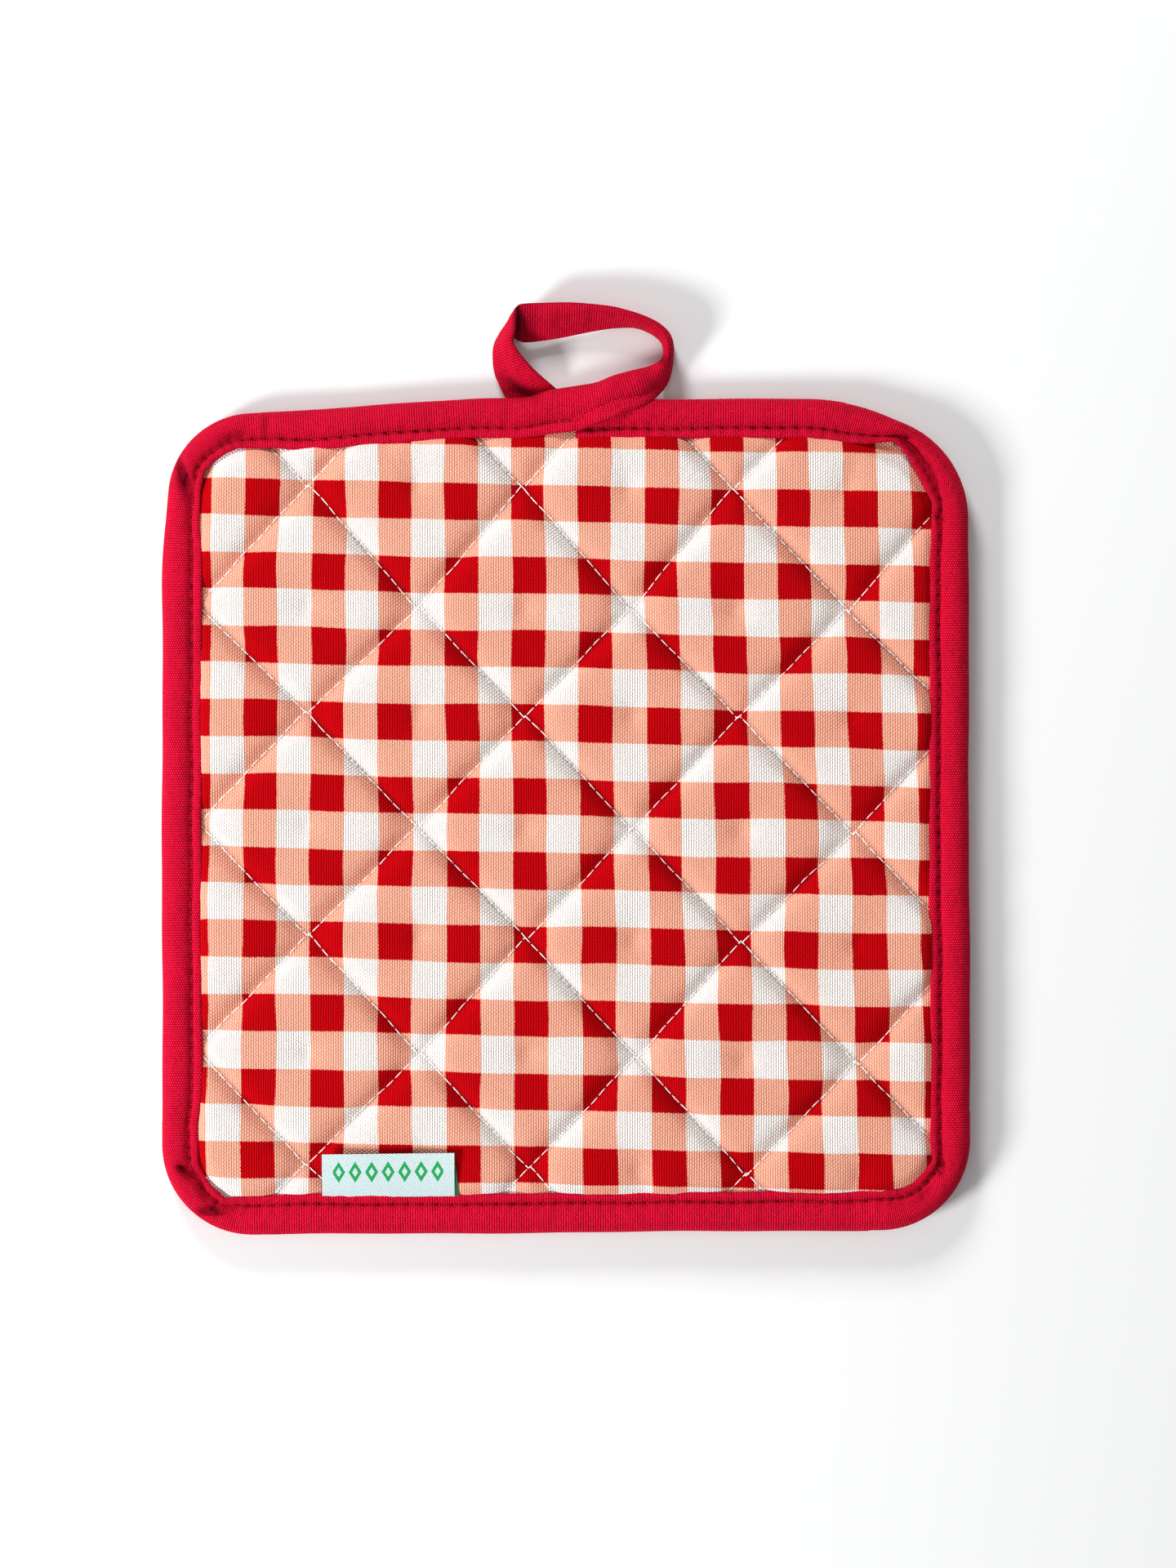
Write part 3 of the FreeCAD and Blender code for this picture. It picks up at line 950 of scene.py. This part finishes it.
# stations along it: the tape's fold, its lip, half its thickness, how deep its groove is, the room inside
LOOP_STATIONS = (
    ((-12.0, 101.9, 4.5), (-12.0, 92.2, 4.5), 3.40, 1.0, 1.9),
    ((-9.3, 102.9, 4.5), (-9.3, 92.5, 4.5), 3.45, 1.0, 1.9),
    ((-3.0, 104.0, 4.5), (-3.0, 93.0, 4.6), 3.60, 1.0, 2.2),
    ((2.8, 104.9, 4.6), (3.4, 93.7, 4.8), 4.10, 1.0, 3.0),
    ((7.4, 105.7, 4.7), (8.8, 95.5, 5.0), 4.55, 1.0, 3.75),
    ((11.7, 107.4, 4.7), (14.0, 97.6, 5.0), 4.55, 0.9, 3.75),
    ((16.2, 108.6, 5.2), (18.9, 99.9, 5.0), 3.40, 0.8, 2.4),
    ((20.4, 109.5, 6.2), (22.1, 102.7, 3.4), 1.90, 0.5, 0.5),
    ((23.4, 110.6, 7.6), (24.1, 106.0, 1.9), 1.40, 0.2, 0.15),
    ((24.7, 112.2, 8.3), (25.1, 110.4, 1.2), 1.35, 0.1, 0.15),
    ((24.9, 114.5, 8.5), (25.1, 114.4, 0.9), 1.35, 0.1, 0.15),
    ((24.0, 117.2, 8.5), (23.9, 117.0, 0.9), 1.35, 0.1, 0.15),
    ((21.4, 119.6, 8.5), (21.1, 119.0, 0.9), 1.35, 0.1, 0.15),
    ((17.6, 121.5, 8.5), (17.0, 120.3, 1.0), 1.35, 0.1, 0.15),
    ((12.8, 123.1, 8.4), (12.2, 120.1, 1.1), 1.30, 0.1, 0.15),
    ((7.9, 124.1, 8.2), (7.4, 119.1, 1.4), 1.25, 0.1, 0.15),
    ((2.9, 124.7, 8.0), (2.6, 118.1, 1.7), 1.20, 0.1, 0.15),
    ((-2.1, 124.8, 7.8), (-2.2, 117.0, 1.9), 1.15, 0.1, 0.15),
    ((-6.3, 124.7, 7.7), (-6.5, 116.3, 2.0), 1.10, 0.1, 0.15),
    ((-9.4, 124.6, 7.7), (-9.6, 116.0, 2.1), 1.05, 0.1, 0.15),
    ((-11.2, 124.3, 7.9), (-11.6, 116.6, 1.7), 1.00, 0.1, 0.15),
    ((-11.9, 123.4, 8.4), (-13.5, 118.6, 1.2), 1.00, 0.1, 0.15),
    ((-11.9, 121.5, 8.4), (-14.9, 118.4, 1.2), 1.00, 0.1, 0.15),
    ((-12.1, 118.9, 8.0), (-16.0, 116.9, 1.4), 1.05, 0.1, 0.15),
    ((-12.8, 115.8, 7.4), (-17.0, 114.6, 1.9), 1.10, 0.1, 0.15),
    ((-11.7, 113.5, 6.9), (-17.3, 111.8, 2.1), 1.10, 0.1, 0.15),
    ((-9.1, 110.3, 6.0), (-17.0, 108.1, 1.9), 1.10, 0.1, 0.15),
    ((-5.8, 107.2, 4.6), (-15.8, 104.9, 1.5), 0.95, 0.1, 0.12),
    ((-2.2, 104.3, 2.4), (-14.3, 101.9, 0.85), 0.62, 0.1, 0.10),
    ((-0.2, 102.0, 1.0), (-12.4, 99.0, 0.62), 0.46, 0.1, 0.08),
    ((0.9, 99.5, 0.60), (-10.8, 96.2, 0.55), 0.42, 0.1, 0.08),
    ((1.3, 97.2, 0.55), (-9.8, 94.0, 0.55), 0.40, 0.1, 0.08),
)
LOOP_STEP = 0.5
JOIN_LENGTH = 9
LOOP_SEAM_END_X = 17.0


def smooth_through(values, at):
    """A smooth line through evenly numbered values."""
    values = np.asarray(values, float)
    padded = np.vstack((2 * values[0] - values[1], values, 2 * values[-1] - values[-2]))
    i = np.clip(np.floor(at).astype(int), 0, len(values) - 2)
    t = (at - i)[:, None]
    p0, p1, p2, p3 = (padded[i + k] for k in range(4))
    bend = 2 * p0 - 5 * p1 + 4 * p2 - p3
    twist = 3 * p1 - p0 - 3 * p2 + p3
    return 0.5 * (2 * p1 + (p2 - p0) * t + bend * t**2 + twist * t**3)


def loop_sections():
    """The tape's sections along the loop, each one's place along the tape, and its station's values."""
    table = np.array([(*fold, *lip, *rest) for fold, lip, *rest in LOOP_STATIONS])
    fine = smooth_through(table, np.linspace(0, len(table) - 1, 1500))
    middle = (fine[:, :3] + fine[:, 3:6]) / 2
    lengths = np.concatenate(([0], np.cumsum(np.linalg.norm(np.diff(middle, axis=0), axis=1))))
    at = np.arange(0, lengths[-1], LOOP_STEP)
    table = np.stack([np.interp(at, lengths, fine[:, k]) for k in range(9)], 1)
    middle = (table[:, :3] + table[:, 3:6]) / 2
    heading = np.gradient(middle, axis=0)
    rings = []
    for i, station in enumerate(table):
        fold, lip_edge = station[:3], station[3:6]
        half, groove, inside = station[6:]
        across = lip_edge - fold
        reach = np.linalg.norm(across)
        across = across / reach
        facing = np.cross(across, heading[i])
        facing /= np.linalg.norm(facing)
        section = tape_section(half, groove, 0.03 * math.sin(at[i] / 2.1), inside)
        d, h = section.T
        outer = np.arange(len(d)) < OUTER_POINTS
        holes = abs(math.cos(math.pi * at[i] / TAPE_STITCH)) ** 6
        near_groove = np.exp(-(((d - GROOVE) / GROOVE_HALF_WIDTH) ** 2))
        h = h - np.sign(h) * outer * groove * 0.24 * holes * near_groove
        ripple = 0.06 * np.sin(at[i] / 1.9 + d * 0.8) + 0.05 * np.sin(at[i] / 4.3 - d)
        h = h + np.sign(h) * outer * ripple * min(half, 1.2) / 1.2
        rings.append(fold + across * (d * reach / LIP_REACH)[:, None] + facing * h[:, None])
    rings = np.array(rings)
    # the loop's tape begins exactly as the binding's ends
    for i in range(int(JOIN_LENGTH / LOOP_STEP)):
        position = ring_end - 1 + i * LOOP_STEP / EDGE_STEP
        low = int(position)
        share = position - low
        here = ring[low] * (1 - share) + ring[low + 1] * share
        weight = eased(i * LOOP_STEP / JOIN_LENGTH)
        rings[i] = here * (1 - weight) + rings[i] * weight
    return rings, at + ring_s[ring_end - 1], table


loop_rings, loop_s, loop_table = loop_sections()
hanging_loop = swept("hanging_loop", loop_rings * MM, loop_s, ACROSS)
# painted shade where the loop folds: at its far left corner, at its right end, and in the shadow where it
# goes behind the binding
mark_creases(
    hanging_loop,
    (
        (-11.6, 120.6, 92, 5.0, 1.0, 1.6),
        (-9.6, 120.0, 92, 5.0, 2.6, 0.9),
        (-2.4, 120.6, 75, 3.0, 0.9, 0.45),
        (5.6, 121.3, 80, 2.6, 1.0, 0.55),
        (22.4, 111.6, 147, 2.4, 0.9, 1.5),
        (-11.5, 104.6, 150, 5.5, 1.4, 1.4),
    ),
)
dress(hanging_loop, crimson_tape)
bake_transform(hanging_loop)
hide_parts("loop_band", "loop_root", "loop_tail")

# ---------------------------------------------------------------- binding's stitches
# Lockstitch in crimson thread, through the tape and the pad, in the groove between the roll and the lip.


STITCH_REACH = 1.45  # from a stitch's middle to its end


def stitch_row(name, spots):
    """Short rounded stitches, all alike, each at a spot of (middle, heading, way out of the cloth)."""
    bpy.ops.object.select_all(action="DESELECT")
    bpy.ops.mesh.primitive_uv_sphere_add(segments=6, ring_count=5, radius=1)
    single = bpy.context.object
    single.data.transform(Matrix.Diagonal((0.27, 0.24, STITCH_REACH, 1)))
    shape = places_of(single)
    faces = [tuple(face.vertices) for face in single.data.polygons]
    bpy.data.objects.remove(single, do_unlink=True)
    bow = -0.10 * (shape[:, 2] / STITCH_REACH) ** 2
    places, polygons = [], []
    for middle, heading, outward in spots:
        heading = heading / np.linalg.norm(heading)
        sideways = np.cross(heading, outward)
        sideways /= np.linalg.norm(sideways)
        upward = np.cross(sideways, heading)
        first = len(places) * len(shape)
        turned = np.outer(shape[:, 0], sideways) + np.outer(shape[:, 1] + bow, upward)
        places.append(middle + turned + np.outer(shape[:, 2], heading))
        polygons += [tuple(first + v for v in face) for face in faces]
    mesh = bpy.data.meshes.new(name)
    mesh.from_pydata((np.vstack(places) * MM).tolist(), [], polygons)
    piece = bpy.data.objects.new(name, mesh)
    bpy.context.collection.objects.link(piece)
    select_only(piece)
    bpy.ops.object.shade_smooth()
    return piece


def groove_spots(rings, s, first, last, side):
    """Where the stitches lie in the groove on one face of the tape, halfway between their holes."""
    line = rings[:, GROOVE_POINT if side > 0 else OUTER_POINTS - 1 - GROOVE_POINT]
    outward = np.array((0.0, 0.0, float(side)))

    def place_at(at):
        return np.array([np.interp(at, s, line[:, axis]) for axis in range(3)])

    spots = []
    for k in range(int((s[last] - s[first]) / TAPE_STITCH)):
        at = s[first] + (k + 0.5) * TAPE_STITCH
        at = (math.floor(at / TAPE_STITCH) + 0.5) * TAPE_STITCH
        spots.append((place_at(at) + outward * 0.10, place_at(at + 1.0) - place_at(at - 1.0), outward))
    return spots


# the thread is the same red as the tape, painted darker as painted shade of the dimples the stitches lie in
crimson_thread = thread_finish("crimson_thread", (0.12, 0.0, 0.003), (0.42, 0.0, 0.014))
for name, side, nodes in (
    ("topstitch_front", 1, ("topstitch_front_upper", "topstitch_front_lower")),
    ("topstitch_back", -1, ("topstitch_back_upper", "topstitch_back_lower")),
):
    row = stitch_row(name, groove_spots(ring, ring_s, 3, ring_end - 3, side))
    dress(row, crimson_thread)
    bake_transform(row)
    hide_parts(*nodes)
seam_end = int(np.argmin(np.abs(loop_table[:, 0] - LOOP_SEAM_END_X)))
loop_spots = groove_spots(loop_rings, loop_s - ring_s[ring_end - 1], 2, seam_end, 1)
loop_stitches = stitch_row("loop_stitches", loop_spots)
dress(loop_stitches, crimson_thread)
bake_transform(loop_stitches)
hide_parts("loop_seam")

# ---------------------------------------------------------------- woven label
# A satin ribbon folded double, with its cut ends caught under the binding's lip. A small green pattern is
# woven into its pale face, and its reverse is dark green.

LABEL_LEFT = -59.0
LABEL_FOOT = -92.6
LABEL_WIDTH = 32.1
LABEL_HEIGHT = 10.7
LABEL_COLUMNS, LABEL_ROWS = 48, 18


def label_layer(name, lift, slip, thickness):
    """One thickness of the folded ribbon. slip is how far its foot leans to the right."""
    piece, column, row = cloth_grid(name, LABEL_COLUMNS, LABEL_ROWS)
    u = column / LABEL_COLUMNS
    v = row / LABEL_ROWS
    x = LABEL_LEFT + LABEL_WIDTH * u + slip * (1 - v)
    y = LABEL_FOOT + LABEL_HEIGHT * v + 0.35 * u
    z = 7.3 + 2.2 * (1 - (1 - v) ** 2) + lift * np.sin(np.pi * v * 0.5)
    z += 0.22 * np.sin(u * 5.0 + 0.6) * v + 0.35 * (u - 0.3) ** 2 * v
    put(piece, np.stack((x, y, z), 1) * MM)
    lay_pattern(piece, np.stack((u, v), 1))
    thicken(piece, thickness * MM)
    select_only(piece)
    bpy.ops.object.shade_smooth_by_angle(angle=math.radians(60))
    return piece


def label_face_finish():
    """Pale satin with a slanting twill and one row of hollow green diamonds."""
    finish, tree, shader = new_finish("pale_satin", 0.42)
    x, y, _ = cloth_axes(tree, LABEL_WIDTH, LABEL_HEIGHT)
    twill = ((x * 0.62 + y) / 0.56).rounds()
    ground = colour_mix(tree, twill, (0.30, 0.44, 0.46), (0.66, 0.77, 0.78))
    beside = (x - 4.05).work("PINGPONG", 2.0)
    diamond = beside / 1.6 + abs(y - 6.3) / 2.6
    within = abs(x - LABEL_WIDTH / 2).work("LESS_THAN", 13.4)
    motif = diamond.work("LESS_THAN", 1.0) * diamond.work("GREATER_THAN", 0.45) * within
    colour = colour_mix(tree, motif, ground, (0.010, 0.33, 0.085))
    tree.links.new(colour, shader.inputs["Base Color"])
    shader.inputs["Specular IOR Level"].default_value = 0.2
    raise_weave(tree, shader, motif * 1.2 + twill, 0.7, 0.00016)
    return finish


def label_reverse_finish():
    finish, tree, shader = new_finish("green_reverse", 0.5)
    uv = cloth_axes(tree, LABEL_WIDTH, LABEL_HEIGHT)[2]
    threads = cloud(tree, uv, 90.0, 2.0)
    colour = colour_mix(tree, threads, (0.0, 0.03, 0.010), (0.008, 0.13, 0.04))
    tree.links.new(colour, shader.inputs["Base Color"])
    raise_weave(tree, shader, threads, 0.5, 0.0001)
    return finish


label_face = label_layer("label_face", 0.0, 0.0, 0.30)
dress(label_face, label_face_finish())
label_reverse = label_layer("label_reverse", -0.42, 1.15, 0.26)
dress(label_reverse, label_reverse_finish())
for layer in (label_face, label_reverse):
    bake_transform(layer)
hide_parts("woven_label")
